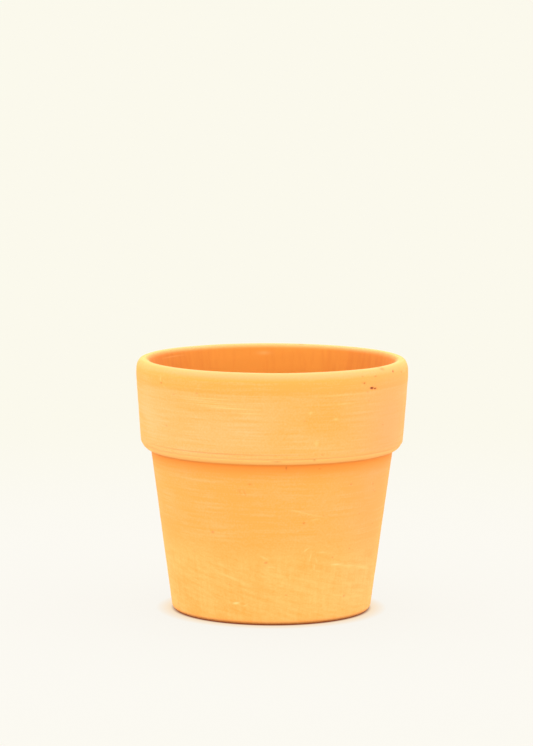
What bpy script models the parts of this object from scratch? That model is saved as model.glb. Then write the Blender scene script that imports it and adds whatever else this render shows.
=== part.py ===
"""A plain terracotta plant pot, 13 cm across the rim.

The pot is one piece of fired clay, turned about its upright axis: a tapered wall under a tall
collar with a rounded rim, hollow inside, with a drain hole through the floor and a foot ring
under it. It stands on the ground plane with its axis on +Z, and the origin is the middle of
the foot.
"""

import math

import bpy
from mathutils import Vector

# All sizes are in metres. The reach of a rounding is how far from a corner its curve begins.

# Overall sizes
HEIGHT = 0.121
RIM_DIAMETER = 0.130  # at the upright band under the rim, the widest place
FOOT_DIAMETER = 0.095  # of the wall's slope carried down to the ground

# Collar, the thick band round the mouth
COLLAR_HEIGHT = 0.0418  # from the rim down to the corner of the lip
COLLAR_STEP = 0.00475  # how far the lip stands out from the wall
COLLAR_DRAFT = 0.00235  # how much closer the lip is to the axis than the rim's band
LIP_SLOPE_HEIGHT = 0.0022  # how far the lip's underside falls on its way in to the wall
LIP_ROUNDING = 0.0036
SHOULDER_ROUNDING = 0.0008

# Rim, the edge of the mouth
RIM_THICKNESS = 0.0060
RIM_BAND_HEIGHT = 0.0085  # from the rim down to where the collar begins to draw in
RIM_OUTER_ROUNDING_HEIGHT = 0.0055
RIM_OUTER_ROUNDING_DEPTH = 0.0028
RIM_INNER_ROUNDING = 0.0021

# Wall, floor and foot
WALL_THICKNESS = 0.0054
FLOOR_THICKNESS = 0.0090
FLOOR_ROUNDING = 0.0060
FOOT_ROUNDING = 0.0022
FOOT_RING_WIDTH = 0.0090
FOOT_RECESS = 0.0012  # how far the underside is hollowed within the foot ring
DRAIN_HOLE_DIAMETER = 0.0130
DRAIN_HOLE_ROUNDING = 0.0015

TURNING_STEPS = 96

CLAY_COLOUR = (0.80, 0.33, 0.12, 1.0)
CLAY_ROUGHNESS = 0.9


def rounded_corner(before, corner, after, reach_before, reach_after, steps):
    """Points of a curve that cuts a corner, tangent to both of its sides.

    With equal reaches the curve is an arc of a circle, otherwise it is an arc of an ellipse.
    """
    side_before = (before - corner).normalized()
    side_after = (after - corner).normalized()
    start = corner + side_before * reach_before
    end = corner + side_after * reach_after
    corner_pull = math.sin(side_before.angle(side_after) / 2)
    points = []
    for step in range(steps + 1):
        share = step / steps
        start_weight = (1 - share) ** 2
        corner_weight = 2 * share * (1 - share) * corner_pull
        end_weight = share**2
        total = start_weight + corner_weight + end_weight
        points.append(
            (start * start_weight + corner * corner_weight + end * end_weight) / total
        )
    return points


def pot_corners():
    """Corners of the pot's section as (place, reach before, reach after, steps of the curve).

    They run down the outside from the rim, in under the foot, up the drain hole, across the
    floor and up the inside. A corner without a curve has no reach and no steps.
    """
    rim_radius = RIM_DIAMETER / 2
    lip_radius = rim_radius - COLLAR_DRAFT
    lip_height = HEIGHT - COLLAR_HEIGHT
    shoulder_radius = lip_radius - COLLAR_STEP
    shoulder_height = lip_height - LIP_SLOPE_HEIGHT
    foot_radius = FOOT_DIAMETER / 2
    foot_ring_inner_radius = foot_radius - FOOT_RING_WIDTH
    hole_radius = DRAIN_HOLE_DIAMETER / 2
    wall_draft = (shoulder_radius - foot_radius) / shoulder_height
    floor_radius = foot_radius - WALL_THICKNESS + wall_draft * FLOOR_THICKNESS
    return [
        (Vector((rim_radius, HEIGHT)), RIM_OUTER_ROUNDING_DEPTH, RIM_OUTER_ROUNDING_HEIGHT, 7),
        (Vector((rim_radius, HEIGHT - RIM_BAND_HEIGHT)), 0, 0, 0),
        (Vector((lip_radius, lip_height)), LIP_ROUNDING, LIP_ROUNDING, 5),
        (Vector((shoulder_radius, shoulder_height)), SHOULDER_ROUNDING, SHOULDER_ROUNDING, 2),
        (Vector((foot_radius, 0)), FOOT_ROUNDING, FOOT_ROUNDING, 4),
        (Vector((foot_ring_inner_radius, 0)), 0, 0, 0),
        (Vector((foot_ring_inner_radius - FOOT_RECESS, FOOT_RECESS)), 0, 0, 0),
        (Vector((hole_radius, FOOT_RECESS)), DRAIN_HOLE_ROUNDING, DRAIN_HOLE_ROUNDING, 2),
        (Vector((hole_radius, FLOOR_THICKNESS)), DRAIN_HOLE_ROUNDING, DRAIN_HOLE_ROUNDING, 3),
        (Vector((floor_radius, FLOOR_THICKNESS)), FLOOR_ROUNDING, FLOOR_ROUNDING, 6),
        (Vector((shoulder_radius - WALL_THICKNESS, shoulder_height)), 0, 0, 0),
        (Vector((rim_radius - RIM_THICKNESS, HEIGHT)), RIM_INNER_ROUNDING, RIM_INNER_ROUNDING, 5),
    ]


def pot_outline():
    """The pot's section as a closed run of (radius, height) points."""
    corners = pot_corners()
    outline = []
    for index, (place, reach_before, reach_after, steps) in enumerate(corners):
        if steps == 0:
            outline.append(place)
            continue
        before = corners[index - 1][0]
        after = corners[(index + 1) % len(corners)][0]
        outline += rounded_corner(before, place, after, reach_before, reach_after, steps)
    return outline


def clay_material(name):
    material = bpy.data.materials.new(name)
    material.use_nodes = True
    shader = material.node_tree.nodes["Principled BSDF"]
    shader.inputs["Base Color"].default_value = CLAY_COLOUR
    shader.inputs["Roughness"].default_value = CLAY_ROUGHNESS
    shader.inputs["Metallic"].default_value = 0.0
    material.diffuse_color = CLAY_COLOUR
    return material


def turned_object(name, outline, collection, material):
    """A closed outline in the XZ plane, turned once about Z by a Screw modifier."""
    count = len(outline)
    edges = [(index, (index + 1) % count) for index in range(count)]
    mesh = bpy.data.meshes.new(name)
    mesh.from_pydata([(radius, 0, height) for radius, height in outline], edges, [])
    mesh.materials.append(material)
    turned = bpy.data.objects.new(name, mesh)
    collection.objects.link(turned)
    screw = turned.modifiers.new("turning", "SCREW")
    screw.axis = "Z"
    screw.angle = math.tau
    screw.steps = TURNING_STEPS
    screw.render_steps = TURNING_STEPS
    screw.use_merge_vertices = True
    screw.merge_threshold = 0.00001
    screw.use_smooth_shade = True
    return turned


def remove_all_objects():
    for old_object in list(bpy.data.objects):
        bpy.data.objects.remove(old_object, do_unlink=True)


def build():
    remove_all_objects()
    collection = bpy.data.collections.new("terracotta_pot")
    bpy.context.scene.collection.children.link(collection)
    turned_object("pot", pot_outline(), collection, clay_material("fired_clay"))


build()
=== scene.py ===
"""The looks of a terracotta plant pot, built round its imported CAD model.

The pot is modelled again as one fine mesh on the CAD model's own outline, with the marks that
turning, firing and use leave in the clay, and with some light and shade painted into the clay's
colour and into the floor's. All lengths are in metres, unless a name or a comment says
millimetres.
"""

import math
import random
from collections import namedtuple

import bpy
import numpy as np
from mathutils import Euler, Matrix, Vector, noise


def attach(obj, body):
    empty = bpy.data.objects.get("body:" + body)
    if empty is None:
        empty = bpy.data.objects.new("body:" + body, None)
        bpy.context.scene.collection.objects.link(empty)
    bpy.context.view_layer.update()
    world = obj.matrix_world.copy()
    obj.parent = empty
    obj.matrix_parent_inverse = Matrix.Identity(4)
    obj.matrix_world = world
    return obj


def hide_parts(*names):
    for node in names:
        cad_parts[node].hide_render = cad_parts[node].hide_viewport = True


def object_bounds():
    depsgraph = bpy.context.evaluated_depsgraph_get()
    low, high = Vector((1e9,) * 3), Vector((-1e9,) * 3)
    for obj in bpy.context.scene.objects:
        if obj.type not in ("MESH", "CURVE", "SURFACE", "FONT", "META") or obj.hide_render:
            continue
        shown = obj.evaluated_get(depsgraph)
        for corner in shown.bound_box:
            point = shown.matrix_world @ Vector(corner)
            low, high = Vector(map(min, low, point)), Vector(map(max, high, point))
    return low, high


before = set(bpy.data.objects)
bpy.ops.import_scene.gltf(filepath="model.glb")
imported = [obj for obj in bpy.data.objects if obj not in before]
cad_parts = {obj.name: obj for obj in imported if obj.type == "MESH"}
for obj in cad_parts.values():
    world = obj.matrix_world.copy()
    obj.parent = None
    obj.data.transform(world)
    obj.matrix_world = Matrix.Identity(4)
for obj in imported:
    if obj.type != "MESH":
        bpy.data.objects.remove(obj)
cad_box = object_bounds()

MM = 0.001
FULL_TURN = 360

# The pot's mesh. Each gap is halved, and the panels doubled, when the clay is smoothed.
PANELS = 128
LIP_RING_GAP = 0.7 * MM
COLLAR_RING_GAP = 1.2 * MM
WALL_RING_GAP = 1.8 * MM
MOUTH_RING_GAP = 2.2 * MM
HIDDEN_RING_GAP = 5.0 * MM
LIP_FROM, LIP_TO = 76 * MM, 82.5 * MM
MOUTH_DEPTH = 30 * MM  # how far down the inside is seen from beside the pot
TOO_SMALL = 0.01 * MM  # what is closer together than this is one and the same

# How deep the unevenness of a hand-finished pot is, in millimetres
TURNING_LINES = 0.035
TURNING_WAVES = 0.05
INSIDE_WAVES = 0.12
DENTS = 0.07
RIM_OUT_OF_LEVEL = 0.10
RIM_OUT_OF_ROUND = 0.05

# A mark in the clay: its angle round the pot in degrees and its height in millimetres, half its
# length and half its width in millimetres, its slope in degrees, its depth in millimetres, how
# dark it is painted and how pale it is rubbed, and how far in from the outside it lies.
Mark = namedtuple(
    "Mark",
    "angle height half_length half_width slope depth dirt rubbed inset",
    defaults=(0, 0, 0, 0, 0),
)
MARK_MARGIN = 0.5  # how much further than a mark its finer faces reach, in millimetres
MARKS = [
    (-44.3, 112.1, 1.05, 0.50, -8, 0.45, 1.60, 0.0, 0.0),  # a knock under the rim
    (-42.3, 111.7, 0.65, 0.40, 0, 0.35, 1.30, 0.0, 0.0),
    (-47.0, 110.5, 0.40, 0.35, 0, 0.15, 0.25, 0.0, 0.0),
    (-48.8, 114.8, 0.45, 0.45, 0, 0.25, 0.75, 0.0, 0.0),
    (-42.0, 117.4, 0.90, 0.30, 4, 0.15, 0.40, 0.0, 0.0),
    (-49.5, 118.0, 0.45, 0.35, 0, 0.20, 0.35, 0.0, 0.0),
    (-28.5, 118.3, 0.60, 0.50, 0, 0.30, 1.00, 0.0, 0.0),
    (-20.0, 116.8, 0.70, 0.40, -30, 0.20, 0.35, 0.0, 0.0),
    (-36.0, 120.3, 1.50, 0.80, 0, 0.45, 0.55, 0.0, 0.6),  # a chip on the rim's edge
    (76.0, 120.4, 1.90, 0.90, 0, 0.55, 0.35, 0.0, 2.4),  # two chips across the mouth
    (48.0, 120.3, 1.70, 0.80, 0, 0.45, 0.20, 0.0, 2.2),
    (-143.0, 113.4, 0.45, 0.55, 70, 0.25, 0.50, 0.0, 0.0),
    (-143.4, 115.4, 0.35, 1.30, 0, 0.05, 0.0, 0.40, 0.0),
    (-83.5, 76.0, 0.32, 0.90, 0, 0.20, 0.45, 0.0, 0.0),  # flecks under the collar
    (-67.5, 75.2, 0.40, 0.30, 0, 0.15, 0.35, 0.0, 0.0),
    (-88.0, 79.6, 2.20, 0.25, 0, 0.10, 0.45, 0.0, 0.0),
    (-71.5, 79.9, 0.60, 0.45, 0, 0.20, 0.35, 0.0, 0.0),
    (-100.5, 68.2, 0.50, 0.40, 0, 0.20, 0.35, 0.0, 0.0),
    (-103.0, 64.0, 0.30, 1.30, 25, 0.10, 0.25, 0.0, 0.0),
    (-105.5, 64.6, 0.30, 1.50, 20, 0.10, 0.20, 0.0, 0.0),
    (-49.0, 66.3, 0.45, 0.40, 0, 0.20, 0.35, 0.0, 0.0),
    (-74.0, 49.4, 0.50, 0.45, 0, 0.20, 0.45, 0.0, 0.0),
    (-46.0, 11.9, 0.60, 0.45, 0, 0.20, 0.40, 0.0, 0.0),
    (-93.0, 30.5, 0.60, 0.45, 0, 0.20, 0.45, 0.0, 0.0),
    (-73.0, 54.0, 9.00, 0.30, -14, 0.05, 0.0, 0.25, 0.0),  # a long scrape
    (-53.5, 28.2, 2.80, 0.40, -6, 0.08, 0.0, 0.70, 0.0),  # a wedge rubbed pale
    (-45.0, 26.7, 5.00, 0.55, -9, 0.04, 0.0, 0.35, 0.0),
    (-32.0, 24.3, 7.00, 0.80, -11, 0.0, 0.0, 0.30, 0.0),
    (-72.0, 36.5, 1.40, 0.35, 35, 0.06, 0.0, 0.45, 0.0),  # small scratches
    (-69.5, 33.0, 0.30, 2.20, -12, 0.05, 0.0, 0.40, 0.0),
    (-66.0, 31.0, 0.30, 1.60, 15, 0.05, 0.0, 0.35, 0.0),
    (-78.0, 55.5, 2.60, 0.30, -12, 0.05, 0.0, 0.35, 0.0),
    (-68.0, 51.0, 2.20, 0.30, 5, 0.04, 0.0, 0.30, 0.0),
    (-118.0, 28.5, 6.00, 0.60, -14, 0.0, 0.0, 0.18, 0.0),
    (-111.0, 22.5, 7.00, 0.60, -17, 0.0, 0.0, 0.20, 0.0),
    (-103.0, 20.0, 6.00, 0.50, -19, 0.0, 0.0, 0.16, 0.0),
    (-63.0, 34.8, 2.60, 0.35, -4, 0.04, 0.0, 0.35, 0.0),
    (-109.6, 10.5, 1.50, 0.50, 10, 0.10, 0.0, 0.90, 0.0),
    (-104.5, 9.6, 1.00, 0.40, 25, 0.05, 0.0, 0.40, 0.0),
    (-94.0, 33.0, 2.20, 0.40, -25, 0.05, 0.0, 0.40, 0.0),
    (-90.5, 28.6, 2.40, 0.40, -10, 0.05, 0.0, 0.30, 0.0),
    (-67.0, 28.0, 0.50, 1.50, 0, 0.05, 0.0, 0.35, 0.0),
    (-74.0, 102.5, 0.80, 0.70, 0, 0.0, 0.0, 0.35, 0.0),
    (-62.5, 99.0, 1.20, 0.60, 0, 0.0, 0.0, 0.35, 0.0),
    (-71.0, 88.0, 0.80, 1.20, 0, 0.0, 0.0, 0.30, 0.0),
    (-59.5, 106.0, 4.50, 0.45, 2, 0.0, 0.0, 0.20, 0.0),
    (-63.5, 110.1, 11.0, 0.30, 0, 0.0, 0.0, 0.25, 0.0),  # thin light turning lines
    (-116.0, 108.5, 12.0, 0.22, 0, 0.0, 0.0, 0.35, 0.0),
    (-119.0, 107.4, 9.00, 0.22, 0, 0.0, 0.0, 0.30, 0.0),
    (-114.0, 106.4, 14.0, 0.22, 0, 0.0, 0.0, 0.35, 0.0),
    (-117.0, 105.4, 10.0, 0.22, 0, 0.0, 0.0, 0.30, 0.0),
    (-108.0, 104.5, 11.0, 0.28, -1, 0.0, 0.0, 0.45, 0.0),
    (-100.0, 102.3, 6.00, 0.25, -1, 0.0, 0.0, 0.35, 0.0),
    (-106.0, 80.7, 24.0, 0.25, 0, 0.0, 0.0, 0.35, 0.0),
    (-117.0, 82.7, 32.0, 0.30, 0, 0.06, 0.18, 0.0, 0.0),  # a thin dark one
    (94.0, 116.4, 3.00, 0.90, 0, 0.0, 0.0, 0.35, 6.0),  # a smudge inside the rim
    (146.0, 117.4, 8.00, 0.35, 0, 0.0, 0.0, 0.40, 6.0),
]
SMALL_PITS = 40  # more like the pits in the list, strewn all round the outside
# The edge that the pot stands on is painted dark as a painted contact shadow
FOOT_PAINTED_SHADE = 0.8  # how dark the edge is that the pot stands on

# Lines that the turning tool left over the lip: height, half a width and depth in millimetres
LIP_LINES = ((81.3, 0.45, -0.10), (80.3, 0.30, 0.26), (82.7, 0.30, 0.08), (84.0, 0.60, 0.06))

# Where the clay is bleached more or less than elsewhere, which on the collar also paints light and
# shade, paler to the left and deeper to the right: an angle round the pot in degrees, a height,
# half a length and half a width in millimetres, and how much more bleached it is.
BLEACH_AND_PAINTED_SIDE_LIGHT = [
    (-120, 94, 30, 10, 0.25),
    (-152, 98, 14, 14, 0.35),
    (-62, 98, 24, 14, -0.25),
    (-28, 93, 14, 12, 0.12),
    (-40, 15, 18, 10, 0.25),
    (-140, 14, 24, 14, -0.15),
    (-160, 45, 12, 30, 0.05),
    (-25, 50, 12, 30, -0.05),
    (20, 96, 30, 10, -0.20),
    (75, 95, 28, 12, 0.30),
    (140, 92, 32, 10, 0.10),
    (60, 18, 25, 12, 0.20),
    (150, 30, 20, 16, -0.15),
]

# Where the fire turned the clay a little redder, written in the same way
FLUSHES = [
    (-28, 96, 26, 30, 0.55),
    (-30, 45, 20, 40, 0.25),
    (100, 88, 30, 25, 0.30),
]


def deselect_everything():
    bpy.ops.object.select_all(action="DESELECT")


def cad_outline(node):
    """The CAD pot's section as (radius, height) corners, down the outside and up the inside."""
    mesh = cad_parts[node].data
    places = [tuple(round(value, 6) for value in vertex.co) for vertex in mesh.vertices]
    beside = {}
    for edge in mesh.edges:
        start, end = (places[index] for index in edge.vertices)
        if start != end and start[0] > 0 and end[0] > 0 and start[1] == end[1] == 0:
            beside.setdefault(start, set()).add(end)
            beside.setdefault(end, set()).add(start)
    crest = max(beside, key=lambda place: (place[2], place[0]))
    corners = [crest, max(beside[crest])]
    while corners[-1] != crest:
        last, before = corners[-1], corners[-2]
        corners.append(next(place for place in beside[last] if place != before))
    return [(x, z) for x, y, z in corners[:-1]]


def ring_gap(height, outside):
    """How far apart the pot's rings may be at a height."""
    if outside:
        if LIP_FROM < height < LIP_TO:
            return LIP_RING_GAP
        return COLLAR_RING_GAP if height >= LIP_TO else WALL_RING_GAP
    return MOUTH_RING_GAP if height > cad_box[1].z - MOUTH_DEPTH else HIDDEN_RING_GAP


def ring_outline(corners):
    """The outline with more rings wherever two corners are further apart than the gap there."""
    rings = []
    outside = True
    for start, end in zip(corners, corners[1:] + corners[:1]):
        outside = outside and start[1] > 0
        length = math.dist(start, end)
        done = 0.0
        while done < length - TOO_SMALL:
            share = done / length
            rings.append(tuple(a + (b - a) * share for a, b in zip(start, end)))
            left = length - done
            gap = ring_gap(rings[-1][1], outside)
            done += left / math.ceil(left / gap - 0.01)
    return rings


def turned_clay(name, rings):
    """A circle pulled ring by ring along the outline and closed on itself, then smoothed."""
    deselect_everything()
    radius, height = rings[0]
    bpy.ops.mesh.primitive_circle_add(vertices=PANELS, radius=radius, location=(0, 0, height))
    clay = bpy.context.object
    clay.name = clay.data.name = name
    bpy.ops.object.transform_apply(location=True)
    bpy.ops.object.mode_set(mode="EDIT")
    for next_radius, next_height in rings[1:] + rings[:1]:
        rise = {"value": (0, 0, next_height - height)}
        bpy.ops.mesh.extrude_region_move(TRANSFORM_OT_translate=rise)
        spread = next_radius / radius
        bpy.ops.transform.resize(value=(spread, spread, 1), center_override=(0, 0, next_height))
        radius, height = next_radius, next_height
    bpy.ops.mesh.select_all(action="SELECT")
    bpy.ops.mesh.remove_doubles(threshold=TOO_SMALL)
    bpy.ops.mesh.normals_make_consistent(inside=False)
    bpy.ops.object.mode_set(mode="OBJECT")
    smoothing = clay.modifiers.new("smoothing", "SUBSURF")
    smoothing.levels = smoothing.render_levels = 1
    bpy.ops.object.modifier_apply(modifier="smoothing")
    bpy.ops.object.shade_smooth()
    return clay


def values_of(elements, name, width):
    """One property of all of a mesh's vertices or faces, as rows of numbers."""
    values = np.empty(len(elements) * width)
    elements.foreach_get(name, values)
    return values.reshape(-1, width)


def mark_nearness(places, mark):
    """How near each place is to the middle of a mark: 1 there, 0.37 at the mark's edge."""
    radius = np.hypot(places[:, 0], places[:, 1])
    outside = np.interp(places[:, 2], outside_heights, outside_radii)
    turn = np.degrees(np.arctan2(places[:, 1], places[:, 0])) - mark.angle
    turn = (turn + FULL_TURN / 2) % FULL_TURN - FULL_TURN / 2
    along = np.radians(turn) * radius / MM
    up = places[:, 2] / MM - mark.height
    inwards = (outside - radius) / MM - mark.inset
    lean = math.radians(mark.slope)
    length_share = (along * math.cos(lean) + up * math.sin(lean)) / mark.half_length
    width = up * math.cos(lean) - along * math.sin(lean)
    return np.exp(-(length_share**2) - (width**2 + inwards**2) / mark.half_width**2)


def patch_strength(places, patches):
    """How strong a list of soft patches is at each place, all of them added up."""
    return sum(
        strength * mark_nearness(places, Mark(angle, height, half_length, half_width))
        for angle, height, half_length, half_width, strength in patches
    )


def divide_near_marks(clay, marks):
    """Smaller faces where the marks are, so that they come out in the clay's own shape."""
    centres = values_of(clay.data.polygons, "center", 3)
    near = np.zeros(len(centres), bool)
    for mark in marks:
        wider = mark._replace(
            half_length=mark.half_length + MARK_MARGIN,
            half_width=mark.half_width + MARK_MARGIN,
        )
        near |= mark_nearness(centres, wider) > 0.2
    deselect_everything()
    bpy.context.view_layer.objects.active = clay
    bpy.ops.object.mode_set(mode="EDIT")
    bpy.ops.mesh.select_mode(type="FACE")
    bpy.ops.mesh.select_all(action="DESELECT")
    bpy.ops.object.mode_set(mode="OBJECT")
    clay.data.polygons.foreach_set("select", near)
    bpy.ops.object.mode_set(mode="EDIT")
    bpy.ops.mesh.subdivide(number_cuts=2)
    bpy.ops.object.mode_set(mode="OBJECT")


def soft_noise(places, size, start):
    """Noise from -1 to 1 at each place, whose waves are about size long, in X, Y and Z."""
    cells = places / np.array(size) + start
    return np.array([noise.noise(Vector(cell)) for cell in cells])


def ramp(values, start, end):
    """0 up to start, 1 from end on, and a soft rise between."""
    share = np.clip((values - start) / (end - start), 0, 1)
    return share * share * (3 - 2 * share)


def small_pits(count, seed):
    """Small round pits where grit has come out of the clay."""
    draw = random.Random(seed)
    pits = []
    for _ in range(count):
        size = 0.25 + 0.30 * draw.random() ** 3
        pits.append(Mark(
            angle=draw.uniform(0, FULL_TURN),
            height=draw.uniform(3, 118),
            half_length=size * draw.uniform(1.0, 1.6),
            half_width=size,
            slope=draw.uniform(-10, 10),
            depth=size * 0.4,
            dirt=draw.uniform(0.1, 0.5),
        ))
    return pits


def work_the_clay(clay, marks):
    """Every small push into the clay, and the marks and the foot's painted contact shadow put on
    it for the material to read.
    """
    mesh = clay.data
    places = values_of(mesh.vertices, "co", 3)
    normals = values_of(mesh.vertices, "normal", 3)
    radius = np.hypot(places[:, 0], places[:, 1])
    height = places[:, 2]
    outwards = places[:, :2] / radius[:, None]
    facing_out = (normals[:, :2] * outwards).sum(axis=1)
    top = cad_box[1].z

    # How far each place goes in along its normal, or comes out of it where that is below zero
    outside = ramp(facing_out, 0.2, 0.8)
    inside = ramp(facing_out, -0.1, -0.7)
    inside = np.maximum(inside, (normals[:, 2] > 0.5) & (height < 0.5 * top))
    off_ground = ramp(height, 0, 3 * MM)
    off_floor = ramp(height, 9.5 * MM, 14 * MM)
    lines = soft_noise(places, (45 * MM, 45 * MM, 1.7 * MM), 3.1)
    waves = soft_noise(places, (30 * MM, 30 * MM, 5.0 * MM), 8.7)
    dents = soft_noise(places, (19 * MM, 19 * MM, 19 * MM), 5.3)
    sink = outside * off_ground * (TURNING_LINES * lines + TURNING_WAVES * waves) * MM
    sink += inside * off_floor * (TURNING_LINES * lines + INSIDE_WAVES * waves) * MM
    sink += off_ground * DENTS * dents * MM

    # The turning tool leaves beads and grooves just over the collar's lip
    near_lip = outside * (height > LIP_FROM)
    for line_height, line_width, depth in LIP_LINES:
        off_line = (height / MM - line_height) / line_width
        broken = 0.75 + 0.5 * soft_noise(places, (16 * MM, 16 * MM, 16 * MM), line_height)
        sink += near_lip * depth * MM * broken * np.exp(-(off_line**2))

    dirt = np.zeros(len(places))
    rubbed = np.zeros(len(places))
    for mark in marks:
        near = mark_nearness(places, mark)
        sink += near * mark.depth * MM
        dirt = np.maximum(dirt, near * mark.dirt)
        rubbed = np.maximum(rubbed, near * mark.rubbed)
    # Painted contact shadow: the edge that the pot stands on is painted dark
    painted_foot_shadow = ramp(height, 2.4 * MM, 0.1 * MM) * ramp(facing_out, 0.0, 0.15)
    dirt = np.maximum(dirt, FOOT_PAINTED_SHADE * painted_foot_shadow)
    bleach_and_side_light = patch_strength(places, BLEACH_AND_PAINTED_SIDE_LIGHT)
    flushed = patch_strength(places, FLUSHES)
    places -= normals * sink[:, None]

    # The rim isn't quite level, and the whole pot is a little out of round
    wavy = 1 + soft_noise(places, (24 * MM, 24 * MM, 80 * MM), 1.7)
    places[:, 2] -= RIM_OUT_OF_LEVEL * MM * wavy * ramp(height, top - 4 * MM, top)
    oval = np.cos(2 * np.arctan2(places[:, 1], places[:, 0]) + 0.8)
    places[:, :2] -= outwards * (RIM_OUT_OF_ROUND * MM * oval * ramp(height, 0, top))[:, None]

    # No place leaves the CAD model's box
    over = np.hypot(places[:, 0], places[:, 1]) / (cad_box[1].x - TOO_SMALL)
    places[:, :2] /= np.maximum(over, 1)[:, None]
    places[:, 2] = np.clip(places[:, 2], 0, top)

    mesh.vertices.foreach_set("co", places.ravel())
    paint = {
        "inside": inside,
        "dirt": dirt,
        "rubbed": rubbed,
        "bleach_and_side_light": bleach_and_side_light,
        "flushed": flushed,
    }
    for name, values in paint.items():
        painted = mesh.attributes.new(name, "FLOAT", "POINT")
        painted.data.foreach_set("value", values)
    mesh.update()


corners = cad_outline("pot")
foot_corner = next(index for index, corner in enumerate(corners) if corner[1] == 0)
outside_heights = [corner[1] for corner in reversed(corners[:foot_corner])]
outside_radii = [corner[0] for corner in reversed(corners[:foot_corner])]
marks = [Mark(*row) for row in MARKS] + small_pits(SMALL_PITS, seed=12)

pot = turned_clay("terracotta_pot", ring_outline(corners))
divide_near_marks(pot, marks)
work_the_clay(pot, marks)
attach(pot, "root")
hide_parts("pot")


def linear(hex_colour):
    """An sRGB hex colour as the linear colour that a shader reads."""
    parts = [int(hex_colour[i : i + 2], 16) / 255 for i in (1, 3, 5)]
    return tuple(c / 12.92 if c <= 0.04045 else ((c + 0.055) / 1.055) ** 2.4 for c in parts) + (1,)


def node(tree, kind, sockets=None, out=0, **settings):
    """One output of a new shader node; its sockets' values or links come in order or by name."""
    new = tree.nodes.new("ShaderNode" + kind)
    for name, value in settings.items():
        setattr(new, name, value)
    if isinstance(sockets, tuple):
        sockets = dict(enumerate(sockets))
    for socket, value in (sockets or {}).items():
        if isinstance(value, bpy.types.NodeSocket):
            tree.links.new(value, new.inputs[socket])
        else:
            new.inputs[socket].default_value = value
    return new.outputs[out]


def new_material(name):
    """A new material, its node tree and its shader."""
    material = bpy.data.materials.new(name)
    material.use_nodes = True
    return material, material.node_tree, material.node_tree.nodes["Principled BSDF"]


smooth = {"interpolation_type": "SMOOTHSTEP"}
mix = {"data_type": "RGBA", "out": 2}
times = {"operation": "MULTIPLY"}

# Terracotta: unglazed red earthenware, pressed and turned in a mould and fired once. That
# gives it a dry, quite matt skin, fine level lines, grit of half a millimetre in the clay, and
# a paler bloom of lime where water has dried, thickest on the collar and towards the foot.
# Every height and every pattern's size below is in millimetres.
terracotta, tree, clay = new_material("fired_terracotta")
place = node(tree, "TexCoord", out="Object")
in_mm = node(tree, "VectorMath", (place, (1 / MM,) * 3), **times)
height = node(tree, "SeparateXYZ", (in_mm,), out="Z")
inside = node(tree, "Attribute", attribute_name="inside", out="Fac")
dirt = node(tree, "Attribute", attribute_name="dirt", out="Fac")
rubbed = node(tree, "Attribute", attribute_name="rubbed", out="Fac")
bleach_and_side_light = node(tree, "Attribute", attribute_name="bleach_and_side_light", out="Fac")
flushed = node(tree, "Attribute", attribute_name="flushed", out="Fac")

# Patterns: broad patches, level turning lines, slanting wipe marks, upright brush marks, and
# grit and grain, both drawn coarser than the clay's own so that they show
patches = node(tree, "TexNoise", {"Vector": in_mm, "Scale": 1 / 22, "Detail": 3.0})
level = node(tree, "VectorMath", (in_mm, (1 / 30, 1 / 30, 1 / 1.1)), **times)
lines = node(tree, "TexNoise", {"Vector": level, "Scale": 1.0, "Detail": 4.0, "Roughness": 0.6})
line_patches = node(tree, "TexNoise", {"Vector": in_mm, "Scale": 1 / 14, "Detail": 1.0})
slant = node(tree, "Mapping", {"Vector": in_mm, "Rotation": (0, math.radians(17), 0),
                               "Scale": (13, 13, 1.5)}, vector_type="TEXTURE")
wipes = node(tree, "TexNoise", {"Vector": slant, "Scale": 1.0, "Detail": 4.0, "Roughness": 0.6})
upright = node(tree, "VectorMath", (in_mm, (1 / 1.8, 1 / 1.8, 1 / 16)), **times)
brush = node(tree, "TexNoise", {"Vector": upright, "Scale": 1.0, "Detail": 3.0})
grit = node(tree, "TexNoise", {"Vector": in_mm, "Scale": 1 / 0.9, "Detail": 3.0,
                               "Roughness": 0.6})
grain = node(tree, "TexNoise", {"Vector": in_mm, "Scale": 1 / 0.35, "Detail": 3.0,
                                "Roughness": 0.6})

# How far each kind of pattern is to be seen: the lines above, and wipe and brush marks below
strong_lines = node(tree, "MapRange", (line_patches, 0.35, 0.6, 0.35, 1.0), **smooth)
wiped = node(tree, "MapRange", (height, 50.0, 30.0, 0.0, 1.0), **smooth)
strong_lines = node(tree, "Math", (wiped, -0.55, strong_lines), operation="MULTIPLY_ADD",
                    use_clamp=True)
ragged = node(tree, "Math", (wipes, 34.0, height), operation="MULTIPLY_ADD")
brushed = node(tree, "MapRange", (height, 42.0, 26.0, 0.0, 1.0), **smooth)
brushed = node(tree, "Math", (brushed, strong_lines), operation="SUBTRACT", use_clamp=True)

# How bleached the clay is, from 0 to 1, as the sum of several causes
line_tone = node(tree, "MapRange", (lines, 0.3, 0.7, -0.36, 0.36))
brush_tone = node(tree, "MapRange", (brush, 0.3, 0.7, -0.22, 0.22))
wipe_tone = node(tree, "MapRange", (wipes, 0.35, 0.65, -0.26, 0.26))
causes = [
    node(tree, "MapRange", (patches, 0.3, 0.7, 0.02, 0.26), **smooth),
    node(tree, "MapRange", (height, 78.0, 80.5, 0.0, 0.30), **smooth),  # the collar
    node(tree, "MapRange", (height, 110.5, 111.3, 0.0, -0.38), **smooth),  # the rim's band
    node(tree, "MapRange", (ragged, 58.0, 46.0, 0.0, 0.34), **smooth),  # the lowest third
    node(tree, "Math", (line_tone, strong_lines), **times),
    node(tree, "Math", (brush_tone, brushed), **times),
    node(tree, "Math", (wipe_tone, wiped), **times),
    node(tree, "MapRange", (grit, 0.3, 0.7, -0.24, 0.24)),
    bleach_and_side_light,
]
bleached = causes[0]
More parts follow.
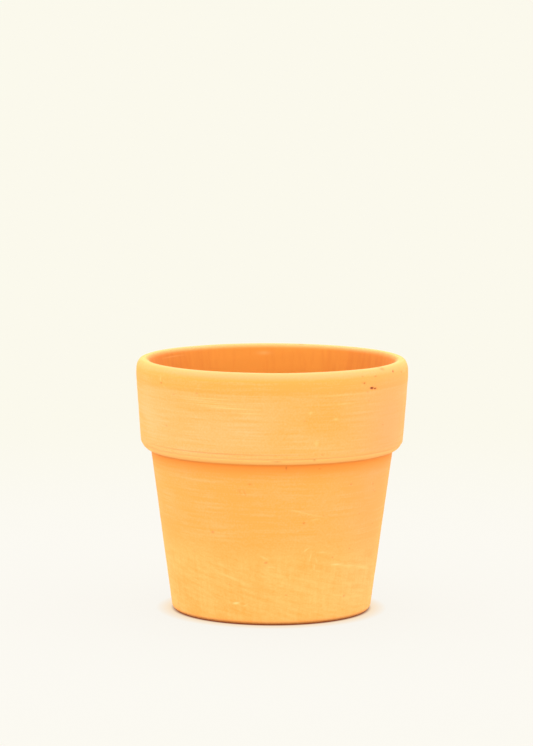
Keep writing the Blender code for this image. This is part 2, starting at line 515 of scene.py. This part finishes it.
for cause in causes[1:]:
    bleached = node(tree, "Math", (bleached, cause), operation="ADD")
pale = node(tree, "Mix", {0: wiped, 6: linear("#E4A366"), 7: linear("#E4A55A")}, **mix)
colour = node(tree, "Mix", {0: bleached, 6: linear("#E29441"), 7: pale}, **mix)
colour = node(tree, "Mix", {0: flushed, 6: colour, 7: linear("#E08D58")}, **mix)

# The collar's lip is painted paler right down to its lower edge: painted light on its rounding,
# which faces down
lip_painted_light = node(tree, "MapRange", (height, 82.6, 79.0, 0.0, 0.65), **smooth)
above_edge = node(tree, "MapRange", (height, 77.5, 78.3, 0.0, 1.0), **smooth)
lip_painted_light = node(tree, "Math", (lip_painted_light, above_edge), **times)
colour = node(tree, "Mix", {0: lip_painted_light, 6: colour, 7: linear("#EDB766")}, **mix)

# The wall just under the collar is painted deeper: painted shade under the collar's overhang
under_lip = node(tree, "MapRange", (height, 77.6, 78.2, 1.0, 0.0), **smooth)
below_lip = node(tree, "MapRange", (height, 78.0, 68.0, 1.0, 0.0), **smooth)
painted_shade_under_lip = node(tree, "Math", (under_lip, below_lip), **times)
colour = node(tree, "Mix", {0: painted_shade_under_lip, 6: colour, 7: linear("#E2862E")}, **mix)

# The inside is painted deeper and darker, as painted shade within the pot, in long streaks, and
# darkest to the left and right
sideways = node(tree, "SeparateXYZ", (in_mm,), out="X")
sideways = node(tree, "Math", (sideways,), operation="ABSOLUTE")
side_shade_and_streaks = node(tree, "MapRange", (sideways, 15.0, 60.0, 0.0, 1.0), **smooth)
streaks = node(tree, "VectorMath", (in_mm, (1 / 3, 1 / 3, 1 / 30)), **times)
streaks = node(tree, "TexNoise", {"Vector": streaks, "Scale": 1.0, "Detail": 3.0})
streaks = node(tree, "MapRange", (streaks, 0.3, 0.7, -0.3, 0.3))
side_shade_and_streaks = node(tree, "Math", (side_shade_and_streaks, streaks), operation="ADD")
lining_with_painted_shade = node(tree, "Mix", {0: side_shade_and_streaks, 6: linear("#CA802C"), 7: linear("#C07024")}, **mix)
colour = node(tree, "Mix", {0: inside, 6: colour, 7: lining_with_painted_shade}, **mix)

# The rim's crest is painted a paler dull pink, partly wear and partly a painted highlight on the
# rim's top, unevenly and less to the left and right
crest_height = node(tree, "Math", (inside, -1.4, height), operation="MULTIPLY_ADD")
crest = node(tree, "MapRange", (crest_height, 117.0, 119.5, 0.0, 1.0), **smooth)
uneven = node(tree, "MapRange", (grit, 0.3, 0.7, 0.7, 1.1))
crest = node(tree, "Math", (crest, uneven), use_clamp=True, **times)
# The painted highlight is weaker to the left and right
in_middle = node(tree, "MapRange", (sideways, 38.0, 60.0, 1.0, 0.35))
crest = node(tree, "Math", (crest, in_middle), **times)
colour = node(tree, "Mix", {0: crest, 6: colour, 7: linear("#DF995E")}, **mix)

# The marks come last, over all of that, and with them the painted contact shadow on the foot's
# edge
colour = node(tree, "Mix", {0: rubbed, 6: colour, 7: linear("#EBBC78")}, **mix)
colour = node(tree, "Mix", {0: dirt, 6: colour, 7: linear("#7A3412")}, **mix)
tree.links.new(colour, clay.inputs["Base Color"])
dryness = node(tree, "MapRange", (grain, 0.3, 0.7, 0.86, 0.96))
tree.links.new(dryness, clay.inputs["Roughness"])
clay.inputs["Diffuse Roughness"].default_value = 0.3
clay.inputs["IOR"].default_value = 1.5
clay.inputs["Specular IOR Level"].default_value = 0.35

skin = node(tree, "Bump", {"Height": grain, "Distance": 0.05 * MM, "Strength": 0.6})
skin = node(tree, "Bump", {"Height": lines, "Distance": 0.04 * MM, "Strength": 0.5,
                           "Normal": skin})
tree.links.new(skin, clay.inputs["Normal"])
pot.data.materials.append(terracotta)

# A floor painted matt white and lit more than it shows: most of its brightness is its own glow.
# Right round the foot a painted contact shadow darkens its glow and its paint, and beside the foot
# its glow is painted dimmer and warm, a painted shadow with painted light from the clay in it.
FLOOR_SHARE = 0.12  # how much of the floor's brightness comes from the studio's light
STUDIO_LIGHT = 2.65
floor_paint, tree, paint = new_material("matt_floor_paint")
place = node(tree, "TexCoord", out="Object")
in_mm = node(tree, "VectorMath", (place, (1 / MM,) * 3), **times)
from_axis = node(tree, "VectorMath", (in_mm,), operation="LENGTH", out="Value")
painted_shadow_fade = node(tree, "MapRange", (from_axis, 46.0, 55.5, 0.0, 1.0))
far = node(tree, "MapRange", (from_axis, 150.0, 700.0, 0.0, 1.0), **smooth)
beyond_painted_contact_shadow = node(tree, "MapRange", (from_axis, 45.4, 48.6, 0.0, 1.0), **smooth)
glow = node(tree, "Mix", {0: painted_shadow_fade, 6: linear("#FFE0B6"), 7: linear("#FCFAF3")}, **mix)
glow = node(tree, "Mix", {0: far, 6: glow, 7: linear("#FBF9EC")}, **mix)
glow = node(tree, "Mix", {0: beyond_painted_contact_shadow, 6: linear("#82280C"), 7: glow}, **mix)
tree.links.new(glow, paint.inputs["Emission Color"])
paint.inputs["Emission Strength"].default_value = 1 - FLOOR_SHARE
white = tuple(part * FLOOR_SHARE / STUDIO_LIGHT for part in linear("#FCF9F2")[:3]) + (1,)
# Round the foot the paint too is painted dark, as part of the painted contact shadow
white = node(tree, "Mix", {0: beyond_painted_contact_shadow, 6: linear("#240804"), 7: white}, **mix)
tree.links.new(white, paint.inputs["Base Color"])
paint.inputs["Roughness"].default_value = 1.0
paint.inputs["Specular IOR Level"].default_value = 0.0

deselect_everything()
bpy.ops.mesh.primitive_circle_add(vertices=96, radius=40, fill_type="NGON", location=(0, 0, 0))
floor = bpy.context.object
floor.name = "studio_floor"
floor.data.materials.append(floor_paint)

# A long lens from about 1.7 m away, that looks down a little into the mouth
camera = bpy.data.objects.new("camera", bpy.data.cameras.new("camera"))
bpy.context.scene.collection.objects.link(camera)
camera.data.lens = 168.89
camera.data.sensor_width = 36
camera.location = (-0.0027, -1.6613, 0.3153)
tilt = Euler((math.radians(83.075), 0, 0)).to_matrix()
roll = Euler((0, 0, 0.0037)).to_matrix()
camera.rotation_euler = (tilt @ roll).to_euler()
bpy.context.scene.camera = camera

# One wide, soft, nearly white light from all round
world = bpy.data.worlds.new("studio")
bpy.context.scene.world = world
world.use_nodes = True
sky = world.node_tree.nodes["Background"]
sky.inputs["Color"].default_value = (1, 0.99, 0.97, 1)
sky.inputs["Strength"].default_value = STUDIO_LIGHT
bpy.context.scene.view_settings.view_transform = "Standard"
